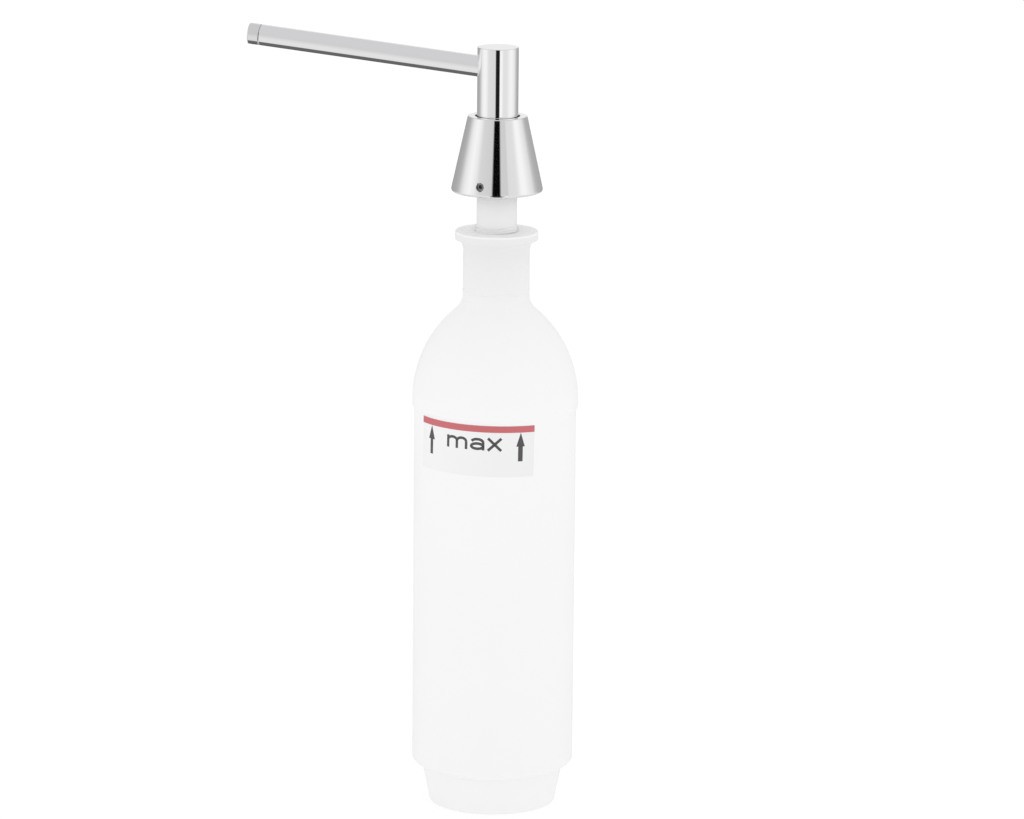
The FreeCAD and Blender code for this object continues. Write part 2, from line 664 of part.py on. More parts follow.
# ---------------------------------------------------------------- head and spout
# The spout pieces are turned about their own axis, then laid along the spout's line.
spout_level = head_top - spout_drop
slope = math.radians(val(spout_rise))
along = V(-math.cos(slope), 0, math.sin(slope))
laid = FreeCAD.Placement(V(0, 0, val(spout_level)),
                         FreeCAD.Rotation(V(0, 1, 0), val(spout_rise) - 90))


def lay(body):
    body.Placement = laid
    body.setExpression("Placement.Base.z", spout_level.text)
    body.setExpression("Placement.Rotation.Angle", "(90 - %s) * 1 deg" % spout_rise.text)
    body.setExpression("Placement.Rotation.Axis.y", "-1")
    doc.recompute()
    return body


def from_axis(distance):
    """The point on the spout's line at this distance from the head's axis."""
    return (along.x * distance, 0, spout_level + along.z * distance)


clip_room_low = clip_level - 0.7
clip_room_top = clip_level + 0.7
socket_radius = neck_of_rod + running_gap
head_body = softened(turned("head_turned", [
    (head_bore, head_low),
    (head_radius, head_low),
    (head_radius, head_top),
    (0, head_top),
    (0, rod_top + 8.5),
    (rod_radius, rod_top + 8.5),
    (rod_radius, rod_top + 0.5),
    (socket_radius, rod_top + 0.5),
    (socket_radius, clip_room_top),
    (neck_of_rod + 1.05, clip_room_top),
    (neck_of_rod + 1.05, clip_room_low),
    (socket_radius, clip_room_low),
    (socket_radius, head_ceiling),
    (head_bore, head_ceiling),
]), [(head_radius, head_top), (head_radius, head_low)], 0.4)
spout_root = 6.5
node("pump_head", cut("pump_head", head_body,
                      cylinder("spout_channel", spout_bore, 20.0, from_axis(0), along),
                      cylinder("spout_seat", spout_radius, 20.0, from_axis(spout_root), along)))

tip_start = spout_reach - tip_length
tube_stop = tip_start - tip_groove
node("spout_tube", lay(softened(ring("spout_tube", spout_bore, spout_radius, spout_root, tube_stop),
                                [(spout_radius, tube_stop)], 0.2)))

tip_bore = spout_bore - 1.0
tip_body = lay(softened(softened(turned("tip_turned", [
    (tip_bore, tip_start - tip_spigot),
    (spout_bore, tip_start - tip_spigot),
    (spout_bore, tip_start),
    (spout_radius, tip_start),
    (spout_radius, spout_reach),
    (0, spout_reach),
    (0, spout_reach - tip_wall),
    (tip_bore, spout_reach - tip_wall),
]), [(spout_radius, spout_reach)], 0.5), [(spout_radius, tip_start)], 0.2))
down = laid.Rotation.multVec(V(-1, 0, 0))
nozzle_at = val(spout_reach) - val(tip_length) / 2
nozzle_radius = 1.7


def on_nozzle_line(distance):
    axis = from_axis(nozzle_at)
    return (axis[0] + down.x * distance, 0, axis[2] + down.z * distance)


node("spout_tip", cut("spout_tip", tip_body,
                      cylinder("nozzle_hole", nozzle_radius, 10.0, on_nozzle_line(0), down)))
node("nozzle_insert", cut("nozzle_insert",
                          cylinder("nozzle_outside", nozzle_radius, spout_radius - tip_bore - 0.1,
                                   on_nozzle_line(val(tip_bore) - 0.1), down),
                          cylinder("nozzle_bore", nozzle_radius - 0.6, 10.0, on_nozzle_line(0), down)))

# ---------------------------------------------------------------- check and write
for name, obj in made.items():
    obj.Label = name
doc.recompute()
for obj in doc.Objects:
    if "Invalid" in obj.State or "Error" in obj.State:
        raise RuntimeError("feature %s failed: %s" % (obj.Name, obj.State))
for name, obj in made.items():
    shape = obj.Shape
    if shape.isNull() or not shape.isValid() or len(shape.Solids) != 1:
        raise RuntimeError("piece %s is not one sound solid" % name)
os.makedirs("parts", exist_ok=True)
for name, obj in made.items():
    obj.Shape.exportStep("parts/%s.step" % name)
print("wrote %d pieces" % len(made))
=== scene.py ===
import math

import bmesh
import bpy
from mathutils import Matrix, Vector


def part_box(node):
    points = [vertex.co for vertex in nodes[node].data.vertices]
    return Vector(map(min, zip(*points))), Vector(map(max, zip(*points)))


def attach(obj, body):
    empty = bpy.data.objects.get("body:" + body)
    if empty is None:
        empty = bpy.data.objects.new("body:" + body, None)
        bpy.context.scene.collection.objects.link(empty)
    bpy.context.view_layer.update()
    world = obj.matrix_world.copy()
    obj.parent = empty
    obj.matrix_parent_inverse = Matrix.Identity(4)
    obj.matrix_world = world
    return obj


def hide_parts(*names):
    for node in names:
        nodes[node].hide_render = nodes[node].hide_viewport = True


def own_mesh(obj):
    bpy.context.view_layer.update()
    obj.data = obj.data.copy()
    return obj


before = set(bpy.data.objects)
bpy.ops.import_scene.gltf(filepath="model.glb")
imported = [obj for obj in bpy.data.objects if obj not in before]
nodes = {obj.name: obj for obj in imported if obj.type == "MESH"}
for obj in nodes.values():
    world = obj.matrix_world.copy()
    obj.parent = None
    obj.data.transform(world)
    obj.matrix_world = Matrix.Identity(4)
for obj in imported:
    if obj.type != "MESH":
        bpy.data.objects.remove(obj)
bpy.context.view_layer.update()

# ---------------------------------------------------------------- camera
# A long lens well away from the pump, looking a little down on it and from its right
# side, so that the spout points left and slightly towards the back.
MM = 0.001
VIEW_TURN, VIEW_HEIGHT, VIEW_ROLL = math.radians(11.6), math.radians(12.4), math.radians(0.53)
VIEW_DISTANCE, VIEW_SIDE, VIEW_LEVEL = 2.75, 8.45 * MM, 201.5 * MM
SENSOR, LENS = 36, 193.4

view_back = Vector((math.sin(VIEW_TURN) * math.cos(VIEW_HEIGHT),
                    -math.cos(VIEW_TURN) * math.cos(VIEW_HEIGHT), math.sin(VIEW_HEIGHT)))
view_right = Vector((math.cos(VIEW_TURN), math.sin(VIEW_TURN), 0))
view_up = view_back.cross(view_right)
camera = bpy.data.objects.new("camera", bpy.data.cameras.new("camera"))
bpy.context.collection.objects.link(camera)
camera.data.sensor_width = SENSOR
camera.data.lens = LENS
camera.data.clip_start, camera.data.clip_end = 0.1, 50
turn = Matrix((view_right, view_up, view_back)).transposed() @ Matrix.Rotation(VIEW_ROLL, 3, "Z")
camera_spot = Vector((0, 0, VIEW_LEVEL)) + view_right * VIEW_SIDE + view_back * VIEW_DISTANCE
camera.matrix_world = Matrix.Translation(camera_spot) @ turn.to_4x4()
bpy.context.scene.camera = camera

# ---------------------------------------------------------------- floor and light
# A pale floor, and a white studio all round. Polished metal sees white screens, a thin
# dark gap between them where the camera stands, and a dimmer room behind.
bpy.context.scene.view_settings.view_transform = "Standard"
bpy.context.scene.view_settings.look = "None"

FLOOR_HALF, FLOOR_TONE, FLOOR_GLOW = 30, 0.5, 0.53
floor_mesh = bpy.data.meshes.new("floor")
floor_mesh.from_pydata([(-FLOOR_HALF, -FLOOR_HALF, 0), (FLOOR_HALF, -FLOOR_HALF, 0),
                        (FLOOR_HALF, FLOOR_HALF, 0), (-FLOOR_HALF, FLOOR_HALF, 0)], [], [(0, 1, 2, 3)])
floor = bpy.data.objects.new("floor", floor_mesh)
bpy.context.collection.objects.link(floor)
floor.visible_glossy = False
floor_paint = bpy.data.materials.new("floor_paint")
floor_paint.use_nodes = True
shader = floor_paint.node_tree.nodes["Principled BSDF"]
shader.inputs["Base Color"].default_value = (FLOOR_TONE, FLOOR_TONE, FLOOR_TONE, 1)
shader.inputs["Roughness"].default_value = 1.0
shader.inputs["Specular IOR Level"].default_value = 0.0
shader.inputs["Emission Color"].default_value = (1, 1, 1, 1)
shader.inputs["Emission Strength"].default_value = FLOOR_GLOW
floor_mesh.materials.append(floor_paint)


class Graph:
    """Adds nodes to a tree and joins them; inputs are values or other nodes' outputs."""

    def __init__(self, tree):
        self.tree = tree

    def add(self, kind, inputs=None, **settings):
        made = self.tree.nodes.new(kind)
        for key, value in settings.items():
            setattr(made, key, value)
        for key, value in (inputs or {}).items():
            socket = made.inputs[key]
            if isinstance(value, bpy.types.NodeSocket):
                self.tree.links.new(value, socket)
            else:
                socket.default_value = value
        return made

    def math(self, operation, a, b=0.0):
        return self.add("ShaderNodeMath", {0: a, 1: b}, operation=operation).outputs[0]

    def fade(self, value, start, end, low=0.0, high=1.0):
        """Low where the value is at start, high where it is at end."""
        return self.add("ShaderNodeMapRange", {0: value, 1: start, 2: end, 3: low, 4: high}).outputs[0]

    def ramp(self, value, stops):
        made = self.add("ShaderNodeValToRGB", {0: value})
        points = made.color_ramp
        points.interpolation = "LINEAR"
        points.elements[0].position, points.elements[1].position = 0.0, 1.0
        while len(points.elements) < len(stops):
            points.elements.new(0.5)
        for element, (place, shade) in zip(points.elements, stops):
            element.position = place
            element.color = (shade, shade, shade, 1) if isinstance(shade, float) else (*shade, 1)
        return made.outputs["Color"]

    def between(self, amount, a, b):
        made = self.add("ShaderNodeMix", {"Factor": amount}, data_type="RGBA")
        colours = [s for s in made.inputs if s.type == "RGBA"]
        for socket, value in zip(colours, (a, b)):
            if isinstance(value, bpy.types.NodeSocket):
                self.tree.links.new(value, socket)
            else:
                socket.default_value = (*value, 1)
        return [s for s in made.outputs if s.type == "RGBA"][0]


def round_ramp(stops):
    """Ramp stops for a full turn: degrees either side of the camera to 0..1."""
    return [(0.5 + degrees / 360.0, shade) for degrees, shade in stops]


world = bpy.data.worlds.new("studio")
bpy.context.scene.world = world
world.use_nodes = True
world.node_tree.nodes.clear()
w = Graph(world.node_tree)
ray = w.add("ShaderNodeTexCoord").outputs["Generated"]
turned_ray = w.add("ShaderNodeVectorRotate", {"Vector": ray, "Angle": -VIEW_TURN},
                   rotation_type="Z_AXIS").outputs[0]
axes = w.add("ShaderNodeSeparateXYZ", {0: turned_ray})
forward = w.math("MULTIPLY", axes.outputs["Y"], -1.0)
around = w.math("ADD", w.math("DIVIDE", w.math("ARCTAN2", axes.outputs["X"], forward), 2 * math.pi), 0.5)
rise = w.math("DIVIDE", w.math("ARCSINE", axes.outputs["Z"]), math.pi / 2)
upper = w.ramp(around, round_ramp([
    (-180, 0.90), (-160, 0.50), (-143, 0.44), (-121, 0.48), (-110, 0.64), (-100, 0.83),
    (-90, 0.94), (-76, 1.02), (-62, 0.93), (-48, 0.74), (-14.5, 0.68), (-10.5, 0.002),
    (7.8, 0.002), (11, 0.68), (27, 0.68), (32, 0.80), (52, 0.82), (58, 0.88), (67, 1.02),
    (78, 1.02), (88, 0.94), (96, 0.87), (105, 0.80), (110, 0.67), (116, 0.57), (124, 0.47),
    (146, 0.47), (160, 0.60), (180, 0.90)]))
lower = w.ramp(around, round_ramp([
    (-180, 0.36), (-137, 0.42), (-124, 0.48), (-113, 0.60), (-95, 0.94), (-79, 1.02), (-65, 0.97),
    (-52, 0.81), (-14.2, 0.77), (-10.2, 0.012), (8.6, 0.012), (12.4, 1.06), (22, 1.02),
    (31, 0.84), (50, 0.84), (68, 0.97), (80, 1.02), (103, 0.90), (124, 0.55), (137, 0.44),
    (180, 0.36)]))
beneath = w.ramp(around, round_ramp([
    (-180, 0.75), (-95, 0.80), (-21, 0.86), (-17, 0.05), (18, 0.05), (24, 0.86), (95, 0.80),
    (180, 0.75)]))
above_line = w.fade(rise, -0.07, 0.05)
below_line = w.fade(rise, -0.16, -0.30)
overhead = w.fade(rise, 0.28, 0.45)
# A dark strip lies low, in the directions that the spout's lower side mirrors to the camera.
SPOUT_SLOPE = math.radians(5.8)
spout_line = Vector((-math.cos(SPOUT_SLOPE), 0, math.sin(SPOUT_SLOPE)))
along_spout = w.add("ShaderNodeVectorMath", {0: ray, 1: spout_line}, operation="DOT_PRODUCT").outputs["Value"]
off_strip = w.math("ABSOLUTE", w.math("ADD", along_spout, view_back.dot(spout_line)))
on_strip = w.fade(off_strip, 0.16, 0.08)
ray_axes = w.add("ShaderNodeSeparateXYZ", {0: ray})
behind = w.fade(ray_axes.outputs["Y"], -0.28, -0.18)
under = w.fade(ray_axes.outputs["Z"], -0.05, -0.15)
strip = w.math("MULTIPLY", on_strip, w.math("MULTIPLY", behind, under))
CEILING_TONE, STRIP_TONE = (0.70, 0.70, 0.71), (0.14, 0.14, 0.14)
seen = w.between(above_line, lower, upper)
seen = w.between(below_line, seen, beneath)
seen = w.between(overhead, seen, CEILING_TONE)
seen = w.between(strip, seen, STRIP_TONE)
path = w.add("ShaderNodeLightPath")
studio_light = w.between(path.outputs["Is Glossy Ray"], (1.0, 1.0, 1.0), seen)
glow = w.add("ShaderNodeBackground", {"Color": studio_light, "Strength": 1.0})
w.add("ShaderNodeOutputWorld", {"Surface": glow.outputs[0]})

# ---------------------------------------------------------------- bottle
# The reservoir: blown polyethylene with a narrower foot, a shoulder that stands a little
# proud of the wall, a short neck and a flat flange. Its adapter screws up the shank's thread.


def mottle_group():
    """Slow, cloudy change of a value over a surface, plus fine relief for a bump."""
    tree = bpy.data.node_groups.new("mottle", "ShaderNodeTree")
    for name, default in (("Scale", 100.0), ("Low", 0.3), ("High", 0.4), ("Grain Scale", 2000.0)):
        socket = tree.interface.new_socket(name, in_out="INPUT", socket_type="NodeSocketFloat")
        socket.default_value = default
    for name in ("Value", "Height"):
        tree.interface.new_socket(name, in_out="OUTPUT", socket_type="NodeSocketFloat")
    g = Graph(tree)
    entry, leave = g.add("NodeGroupInput"), g.add("NodeGroupOutput")
    place = g.add("ShaderNodeTexCoord").outputs["Object"]
    cloud = g.add("ShaderNodeTexNoise", {"Vector": place, "Scale": entry.outputs["Scale"], "Detail": 3.0})
    grain = g.add("ShaderNodeTexNoise", {"Vector": place, "Scale": entry.outputs["Grain Scale"],
                                         "Detail": 2.0})
    value = g.fade(cloud.outputs[0], 0.3, 0.7, entry.outputs["Low"], entry.outputs["High"])
    tree.links.new(value, leave.inputs["Value"])
    tree.links.new(grain.outputs[0], leave.inputs["Height"])
    return tree


mottle = mottle_group()


def finish(name, colour, roughness, cloud=90.0, grain=2500.0, relief=0.00002, **sockets):
    """A material with cloudy roughness and fine relief; sockets are set on the shader."""
    made = bpy.data.materials.new(name)
    made.use_nodes = True
    g = Graph(made.node_tree)
    shader = made.node_tree.nodes["Principled BSDF"]
    for key, value in sockets.items():
        shader.inputs[key.replace("_", " ")].default_value = value
    effect = g.add("ShaderNodeGroup", node_tree=mottle)
    effect.inputs["Scale"].default_value = cloud
    effect.inputs["Grain Scale"].default_value = grain
    effect.inputs["Low"].default_value, effect.inputs["High"].default_value = roughness
    made.node_tree.links.new(effect.outputs["Value"], shader.inputs["Roughness"])
    bump = g.add("ShaderNodeBump", {"Strength": 0.4, "Distance": relief, "Height": effect.outputs["Height"]})
    made.node_tree.links.new(bump.outputs[0], shader.inputs["Normal"])
    if callable(colour):
        made.node_tree.links.new(colour(g), shader.inputs["Base Color"])
    else:
        low, high = colour
        tint = g.add("ShaderNodeTexNoise", {"Vector": g.add("ShaderNodeTexCoord").outputs["Object"],
                                            "Scale": cloud * 0.6, "Detail": 2.0})
        made.node_tree.links.new(g.between(tint.outputs[0], low, high), shader.inputs["Base Color"])
    return made


def rounded(outline, steps=6):
    """Points of a (radius, height[, rounding]) outline with its corners rounded. A short
    straight piece stays either side of each rounding, to keep the flats flat."""
    longest, shortest = 0.1, 0.005
    points = []
    count = len(outline)
    for i, corner in enumerate(outline):
        here = Vector(corner[:2])
        if len(corner) < 3:
            points.append(here)
            continue
        before = (Vector(outline[i - 1][:2]) - here)
        after = (Vector(outline[(i + 1) % count][:2]) - here)
        u, v = before.normalized(), after.normalized()
        half = u.angle(v) / 2
        reach = corner[2] / math.tan(half)
        centre = here + (u + v).normalized() * (corner[2] / math.sin(half))
        start, end = here + u * reach, here + v * reach
        slack = min(longest, 0.4 * (before.length - reach), 0.4 * (after.length - reach))
        if slack > shortest:
            points.append(start + u * slack)
        a, b = start - centre, end - centre
        sweep = math.atan2(a.x * b.y - a.y * b.x, a.dot(b))
        for k in range(steps + 1):
            t = sweep * k / steps
            points.append(centre + Vector((a.x * math.cos(t) - a.y * math.sin(t),
                                           a.x * math.sin(t) + a.y * math.cos(t))))
        if slack > shortest:
            points.append(end + v * slack)
    return points


def bow(x, y, rx, ry, start, end, steps=10):
    """Points of an oval's edge, from one angle in degrees to another."""
    angles = [math.radians(start + (end - start) * k / steps) for k in range(steps + 1)]
    return [(x + rx * math.cos(angle), y + ry * math.sin(angle)) for angle in angles]


def arc_points(centre, radius, start, end, steps):
    """Points of an arc, from one angle in degrees to another."""
    return bow(*centre, radius, radius, start, end, steps)


def add_piece(name, mesh, body, material, smooth=True):
    """Links a mesh as a piece that rides on a body."""
    for polygon in mesh.polygons:
        polygon.use_smooth = smooth
    mesh.materials.append(material)
    piece = bpy.data.objects.new(name, mesh)
    bpy.context.collection.objects.link(piece)
    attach(piece, body)
    return piece


def turned(name, outline, segments=160, closed=True):
    """A mesh turned about z from outline points in millimetres."""
    shape = bmesh.new()
    rings = []
    for r, z in outline:
        if r < 1e-6:
            rings.append([shape.verts.new((0, 0, z * MM))])
        else:
            rings.append([shape.verts.new((r * MM * math.cos(2 * math.pi * k / segments),
                                           r * MM * math.sin(2 * math.pi * k / segments), z * MM))
                          for k in range(segments)])
    pairs = list(zip(rings, rings[1:]))
    if closed and len(rings[0]) > 1 and len(rings[-1]) > 1:
        pairs.append((rings[-1], rings[0]))
    for low, high in pairs:
        for k in range(segments):
            n = (k + 1) % segments
            if len(low) == 1 and len(high) == 1:
                continue
            if len(low) == 1:
                shape.faces.new((low[0], high[n], high[k]))
            elif len(high) == 1:
                shape.faces.new((low[k], low[n], high[0]))
            else:
                shape.faces.new((low[k], low[n], high[n], high[k]))
    bmesh.ops.remove_doubles(shape, verts=shape.verts, dist=1e-7)
    bmesh.ops.recalc_face_normals(shape, faces=shape.faces)
    mesh = bpy.data.meshes.new(name)
    shape.to_mesh(mesh)
    shape.free()
    return mesh


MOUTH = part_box("bottle")[1][2] / MM
WALL = 1.5
FOOT_LEVEL, WALL_TOP, SHOULDER_LOW, NECK_LOW = 22.2, 203.6, 207.0, MOUTH - 31.9
BODY_R, SHOULDER_R, NECK_R, FLANGE_R = 40.5, 41.5, 16.6, 20.75
PUNT, PUNT_R, HEEL_R, FOOT_R, FOOT_TOP_R, STEP_R = 5.0, 18.0, 22.0, 31.5, 35.5, 39.3
HOLLOW = 10.0
DROP, CLIMB = SHOULDER_R - NECK_R, NECK_LOW - SHOULDER_LOW
BULGE = (DROP ** 2 + CLIMB ** 2) / (2 * DROP) - HOLLOW
MEET = math.degrees(math.atan2(CLIMB, BULGE + HOLLOW - DROP))
bulge_centre = (SHOULDER_R - BULGE, SHOULDER_LOW)
hollow_centre = (NECK_R + HOLLOW, NECK_LOW)
FLANGE_LOW = MOUTH - 4.3
FLARE_R, FLARE_LOW, FLARE_SWEEP = 6.83, FLANGE_LOW - 5.2, 49.6
BEAD, BEAD_LOW = 0.3, NECK_LOW + 1.3
NECK_BORE, RECESS_R, RECESS_LOW = NECK_R - WALL, NECK_R + 0.9, MOUTH - 2.0

skin = [(0, PUNT), (PUNT_R, PUNT, 2.0), (HEEL_R, 0, 1.0), (FOOT_R, 0, 1.0),
        (FOOT_TOP_R, FOOT_LEVEL - 2.9, 1.2), (STEP_R, FOOT_LEVEL - 1.5, 0.8), (BODY_R, FOOT_LEVEL, 0.7),
        (BODY_R, WALL_TOP - 1.0, 1.2), (SHOULDER_R, WALL_TOP + 0.8, 1.2)]
skin += arc_points(bulge_centre, BULGE, 0, MEET, 40)
skin += arc_points(hollow_centre, HOLLOW, 180 + MEET, 180, 14)[1:]
skin += [(NECK_R, BEAD_LOW, 0.3), (NECK_R + BEAD, BEAD_LOW + 0.4, 0.3),
         (NECK_R + BEAD, BEAD_LOW + 0.9, 0.3), (NECK_R, BEAD_LOW + 1.3, 0.3)]
skin += arc_points((NECK_R + FLARE_R, FLARE_LOW), FLARE_R, 180, 180 - FLARE_SWEEP, 12)
skin += [(FLANGE_R, FLANGE_LOW, 0.5), (FLANGE_R, MOUTH, 0.45), (RECESS_R, MOUTH, 0.15),
         (RECESS_R, RECESS_LOW, 0.1), (NECK_BORE, RECESS_LOW, 0.2)]
skin += arc_points(hollow_centre, HOLLOW + WALL, 180, 180 + MEET, 10)
skin += arc_points(bulge_centre, BULGE - WALL, MEET, 0, 24)[1:]
skin += [(SHOULDER_R - WALL, WALL_TOP + 0.9, 0.4), (BODY_R - WALL, WALL_TOP + 0.2, 0.3),
         (BODY_R - WALL, FOOT_LEVEL + 0.5, 0.8), (STEP_R - WALL, FOOT_LEVEL, 0.8),
         (FOOT_TOP_R - WALL, FOOT_LEVEL - 1.5, 1.2), (FOOT_R - WALL, 2 * WALL, 1.0),
         (FOOT_R - 2 * WALL, WALL, 1.0), (HEEL_R + 0.5, WALL, 1.0), (PUNT_R + 0.5, PUNT + WALL, 1.5),
         (0, PUNT + WALL)]
outside = rounded(skin)


def bottle_colour_and_painted_light(g):
    """Milky white, a little darker up the neck, and near white on the flange's top: a painted lightening that
    offsets the shade under the cone.
    """
    height = g.add("ShaderNodeSeparateXYZ", {0: g.add("ShaderNodeTexCoord").outputs["Object"]}).outputs["Z"]
    part = g.math("DIVIDE", height, MOUTH * MM)
    # The last stop paints the flange's top near white, painted light against the shade of the cone above.
    tone = g.ramp(part, [(0.0, (0.91, 0.91, 0.915)), (0.70, (0.93, 0.93, 0.93)),
                         (0.86, (0.915, 0.915, 0.915)), (0.905, (0.87, 0.87, 0.87)),
                         (0.965, (0.83, 0.83, 0.83)), (0.996, (0.83, 0.83, 0.83)),
                         (0.999, (0.99, 0.99, 0.99))])
    cloud = g.add("ShaderNodeTexNoise", {"Vector": g.add("ShaderNodeTexCoord").outputs["Object"],
                                         "Scale": 18.0, "Detail": 3.0})
    shade = g.fade(cloud.outputs[0], 0.3, 0.7, 0.0, 0.02)
    return g.between(shade, tone, (0.5, 0.5, 0.52))


milky = finish("milky_polyethylene", bottle_colour_and_painted_light, (0.38, 0.5), cloud=30.0, grain=900.0, relief=0.00004,
               Specular_IOR_Level=0.1, Sheen_Weight=0.4, Sheen_Roughness=0.5)
bottle = add_piece("bottle_shell", turned("bottle_shell", outside, 192, closed=False), "reservoir", milky)
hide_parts("bottle")

# ---------------------------------------------------------------- adapter
# A white polypropylene ring pressed into the bottle's mouth, flush with its flange; the
# shank's thread runs in its bore.
THREAD_R, SHANK_R = 10.8, 10.0
BORE_R, PLUG_LOW, TAPER = THREAD_R + 0.07, MOUTH - 18.0, 1.5
stem_white = finish("stem_white", ((0.94, 0.94, 0.94), (0.91, 0.91, 0.91)), (0.4, 0.5), cloud=120.0,
                    Specular_IOR_Level=0.2)
# The ring is painted whiter than the stem, a painted lightening of its top against the shade under the cone.
ring_white_and_painted_light = finish("ring_white_and_painted_light", ((0.985, 0.985, 0.985), (0.97, 0.97, 0.97)), (0.4, 0.5), cloud=120.0,
                    Specular_IOR_Level=0.5, Sheen_Weight=0.6, Sheen_Roughness=0.4)
adapter = add_piece("adapter_ring", turned("adapter_ring", rounded([
    (BORE_R, PLUG_LOW, 0.3), (NECK_BORE - 0.8, PLUG_LOW, 0.3), (NECK_BORE, PLUG_LOW + TAPER, 0.3),
    (NECK_BORE, RECESS_LOW), (RECESS_R, RECESS_LOW), (RECESS_R, MOUTH, 0.15), (BORE_R, MOUTH, 0.08)])),
    "reservoir", ring_white_and_painted_light)
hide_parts("neck_plug")

# ---------------------------------------------------------------- level label
# A strip of clear film stuck on a little askew, printed with a red line at the full level,
# two arrows that point at it and the word for it.
LABEL_TURN, LABEL_TILT = math.radians(-94.1), math.radians(0.95)
LABEL_HALF, LABEL_LOW = 31.6, -25.7
LABEL_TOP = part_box("level_label")[1][2] / MM - 0.45
FILM_IN, FILM_OUT, INK_IN, LINE_OUT, MARKS_OUT = 0.01, 0.15, 0.12, 0.18, 0.17
LINE_LOW = -3.3


def on_bottle(s, h, out):
    """Wraps flat label coordinates, measured along and up from the top edge's middle."""
    along = s * math.cos(LABEL_TILT) + h * math.sin(LABEL_TILT)
    up = h * math.cos(LABEL_TILT) - s * math.sin(LABEL_TILT)
    angle = LABEL_TURN + along / BODY_R
    radius = (BODY_R + out) * MM
    return (radius * math.cos(angle), radius * math.sin(angle), (LABEL_TOP + up) * MM)


def wrapped(name, shapes, low, high, body, material):
    """Flat shapes, each a list of corners, laid on the bottle as one thin piece."""
    step, cuts = 1.2, 30
    sheet = bmesh.new()
    for shape in shapes:
        sheet.faces.new([sheet.verts.new((x, y, 0)) for x, y in shape])
    for k in range(-cuts, cuts + 1):
        everything = sheet.verts[:] + sheet.edges[:] + sheet.faces[:]
        bmesh.ops.bisect_plane(sheet, geom=everything, plane_co=(k * step, 0, 0),
                               plane_no=(1, 0, 0), dist=1e-5)
    sheet.normal_update()
    for face in sheet.faces:
        if face.normal.z < 0:
            face.normal_flip()
    bmesh.ops.solidify(sheet, geom=sheet.faces[:], thickness=1.0)
    for vert in sheet.verts:
        vert.co = on_bottle(vert.co.x, vert.co.y, high if abs(vert.co.z) < 1e-6 else low)
    bmesh.ops.recalc_face_normals(sheet, faces=sheet.faces)
    mesh = bpy.data.meshes.new(name)
    sheet.to_mesh(mesh)
    sheet.free()
    return add_piece(name, mesh, body, material, smooth=False)


def film_colour(g):
    """Nearly clear, a little greyer towards its right end."""
    across = g.add("ShaderNodeSeparateXYZ", {0: g.add("ShaderNodeTexCoord").outputs["Object"]}).outputs["X"]
    along = g.fade(across, -32 * MM, 25 * MM)
    return g.ramp(along, [(0.0, (0.90, 0.90, 0.905)), (0.5, (0.875, 0.875, 0.885)),
                          (1.0, (0.855, 0.855, 0.865))])


film = finish("clear_film", film_colour, (0.25, 0.35), cloud=60.0, grain=500.0, Specular_IOR_Level=0.15)
ink = finish("grey_ink", ((0.07, 0.065, 0.065), (0.09, 0.085, 0.085)), (0.4, 0.55), cloud=400.0)
red_ink = finish("red_ink", ((0.60, 0.15, 0.165), (0.57, 0.14, 0.155)), (0.4, 0.5), cloud=200.0)


def band(low):
    """The label's full width, from a level up to its top edge."""
    return [[(-LABEL_HALF, low), (LABEL_HALF, low), (LABEL_HALF, 0), (-LABEL_HALF, 0)]]


label = wrapped("label_film", band(LABEL_LOW), FILM_IN, FILM_OUT, "reservoir", film)
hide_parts("level_label")
line = wrapped("red_line", band(LINE_LOW), INK_IN, LINE_OUT, "reservoir", red_ink)


def arrow(middle, shaft):
    """An upward arrow whose point touches the red line."""
    tip, barb, foot, neck = LINE_LOW, -10.3, -17.8, -10.0
    spread, side = 2.2, shaft / 2
    return [[(middle, tip), (middle - spread, barb), (middle + spread, barb)],
            [(middle - side, neck), (middle - side, foot), (middle + side, foot), (middle + side, neck)]]


def ribbon(points, width):
    """Quads that follow a line of points with a constant width."""
    edge = []
    for i, p in enumerate(points):
        a, b = Vector(points[max(i - 1, 0)]), Vector(points[min(i + 1, len(points) - 1)])
        across = (b - a).normalized().orthogonal() * (width / 2)
        edge.append((Vector(p) - across, Vector(p) + across))
    return [[tuple(edge[i][0]), tuple(edge[i + 1][0]), tuple(edge[i + 1][1]), tuple(edge[i][1])]
            for i in range(len(points) - 1)]


LETTER, STROKE = 6.2, 1.35
ARCH, ARCH_RISE = 2.5, 2.4
BOWL, BOWL_LOW, BOWL_HIGH = 3.0, 2.0, 2.3
CROSS_LEFT, CROSS_RIGHT = 0.7, 7.3
FIRST_GAP, SECOND_GAP = 1.3, 1.0
WORD_LEFT, WORD_GAP = -13.7, 2.9
LEFT_ARROW, RIGHT_ARROW = (-24.0, 1.9), (24.3, 2.4)
base_line = LINE_LOW - WORD_GAP - LETTER
top_line = base_line + LETTER
half = STROKE / 2
word = []
x = WORD_LEFT
for stem in (0.0, 2 * ARCH, 4 * ARCH):
    stem_top = top_line - (ARCH_RISE if stem else 0)
    word += ribbon([(x + half + stem, base_line), (x + half + stem, stem_top)], STROKE)
for stem in (0.0, 2 * ARCH):
    word += ribbon(bow(x + half + stem + ARCH, top_line - ARCH_RISE, ARCH, ARCH_RISE - half, 180, 0), STROKE)
x += 4 * ARCH + STROKE + FIRST_GAP
word += ribbon(bow(x + half + BOWL, base_line + BOWL_LOW, BOWL, BOWL_LOW - half, 0, 360, 24), STROKE)
word += ribbon(bow(x + half + BOWL, top_line - BOWL_HIGH, BOWL, BOWL_HIGH - half, 160, 0, 12), STROKE)
word += ribbon([(x + half + 2 * BOWL, base_line), (x + half + 2 * BOWL, top_line - BOWL_HIGH)], STROKE)
x += 2 * BOWL + STROKE + SECOND_GAP
word += ribbon([(x + CROSS_LEFT, base_line), (x + CROSS_RIGHT, top_line)], STROKE)
word += ribbon([(x + CROSS_LEFT, top_line), (x + CROSS_RIGHT, base_line)], STROKE)
marks = wrapped("level_marks", arrow(*LEFT_ARROW) + arrow(*RIGHT_ARROW) + word,
                INK_IN, MARKS_OUT, "reservoir", ink)

